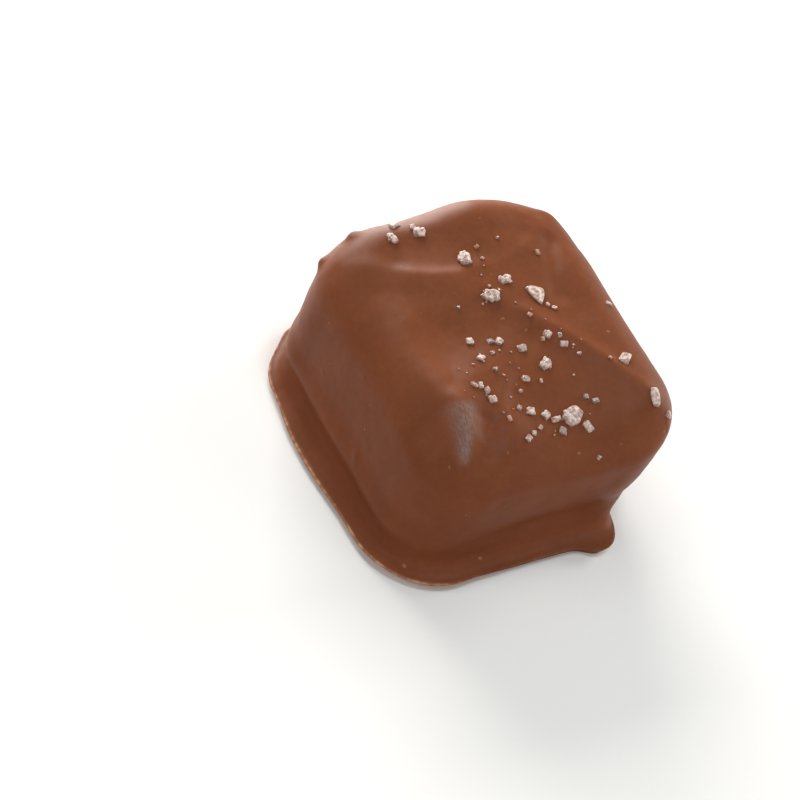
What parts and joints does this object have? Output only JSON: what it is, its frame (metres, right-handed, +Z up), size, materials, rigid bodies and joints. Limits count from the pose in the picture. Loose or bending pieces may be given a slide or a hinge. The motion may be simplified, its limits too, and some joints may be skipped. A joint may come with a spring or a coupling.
{
  "type": "salted caramel candy",
  "caption": "Square piece of soft caramel dipped in milk chocolate, with rounded sides, a thin uneven foot and soft folds on its top.",
  "frame": {"origin": "centre of the flat base, on the surface the candy lies on", "axes": "+Z up out of the folded top, +Y along the longer side towards the raised back edge, +X along the shorter side towards the side the top leans to"},
  "size_m": [0.0316, 0.037, 0.0186],
  "materials": {
    "milk_chocolate": "satin milk chocolate",
    "sea_salt": "coarse translucent salt crystals"
  },
  "bodies": {
    "root": {"caramel_candy": "milk_chocolate"}
  },
  "joints": []
}
